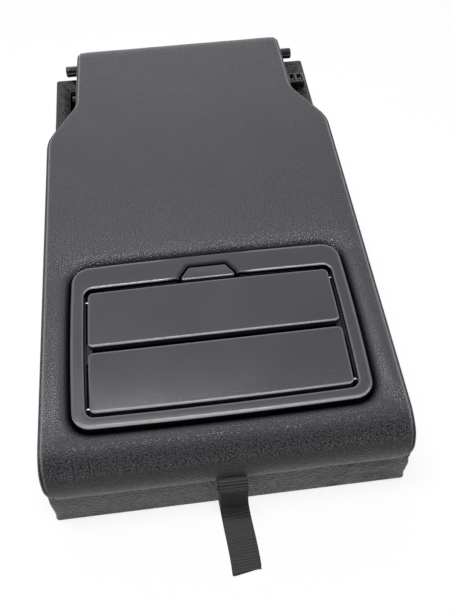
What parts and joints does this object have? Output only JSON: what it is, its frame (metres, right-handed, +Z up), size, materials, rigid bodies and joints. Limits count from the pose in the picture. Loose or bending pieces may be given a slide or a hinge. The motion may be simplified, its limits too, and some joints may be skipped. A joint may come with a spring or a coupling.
{
  "type": "rear seat armrest with cup holder",
  "caption": "Padded fold-down car rear armrest with a narrowed pivot neck, a pull strap, and a latched, lidded cup holder recessed in its top.",
  "frame": {"origin": "middle of the flat underside, half way between the base's front and rear faces and its sides", "axes": "+X to the right as seen by someone sitting behind the strap end, +Y to the rear, where the neck and pivot are, +Z up out of the padded top"},
  "size_m": [0.256, 0.4865, 0.076],
  "materials": {
    "leather": "charcoal-grey grained leather, matt",
    "foam": "open-cell moulded foam",
    "black_moulding": "black moulded plastic, fine texture",
    "satin_moulding": "dark grey moulded plastic, satin",
    "blackened_steel": "black coated steel",
    "spring_steel": "bright zinc-plated steel",
    "webbing": "woven ribbed webbing",
    "grip_rubber": "soft matt rubber"
  },
  "bodies": {
    "armrest": {"top_cover": "leather", "side_gusset_left": "leather", "side_gusset_right": "leather", "base_cover": "leather", "foam_pad": "foam", "carrier_frame": "black_moulding", "pivot_bracket_left": "black_moulding", "pivot_bracket_right": "black_moulding", "bracket_screws": "blackened_steel", "pivot_shaft": "blackened_steel", "shaft_clips": "spring_steel", "stop_block": "black_moulding", "stop_pin": "blackened_steel", "pull_strap": "webbing", "strap_anchor": "spring_steel", "trim_frame": "satin_moulding", "cup_tray": "black_moulding", "cup_grip_left": "grip_rubber", "cup_grip_right": "grip_rubber", "cup_mat_left": "grip_rubber", "cup_mat_right": "grip_rubber", "rear_flap_pin": "spring_steel", "front_flap_pin": "spring_steel", "rear_flap_spring": "spring_steel", "front_flap_spring": "spring_steel", "button_springs": "spring_steel", "latch_spring": "spring_steel", "tray_screws": "blackened_steel"},
    "rear_lid": {"rear_flap": "satin_moulding"},
    "front_lid": {"front_flap": "satin_moulding"},
    "button": {"release_button": "satin_moulding"},
    "latch": {"latch_slide": "black_moulding"}
  },
  "joints": [
    {"name": "rear_flap_hinge", "type": "hinge", "parent": "armrest", "child": "rear_lid", "pos_m": [0, -0.0743, 0.0688], "axis": [-1, 0, 0], "range_deg": [0, 95], "deforming": ["rear_flap_spring"]},
    {"name": "front_flap_hinge", "type": "hinge", "parent": "armrest", "child": "front_lid", "pos_m": [0, -0.1601, 0.0688], "axis": [1, 0, 0], "range_deg": [0, 95], "deforming": ["front_flap_spring"]},
    {"name": "button_press", "type": "slide", "parent": "armrest", "child": "button", "axis": [0, 0, -1], "range_m": [0, 0.0025], "stiffness_N_per_m": 400, "springref_m": -0.006, "deforming": ["button_springs"]},
    {"name": "latch_travel", "type": "slide", "parent": "armrest", "child": "latch", "axis": [0, -1, 0], "range_m": [0, 0.0025], "deforming": ["latch_spring"]}
  ],
  "couplings": [
    {"joint": "latch_travel", "follows": "button_press", "ratio": 1}
  ]
}
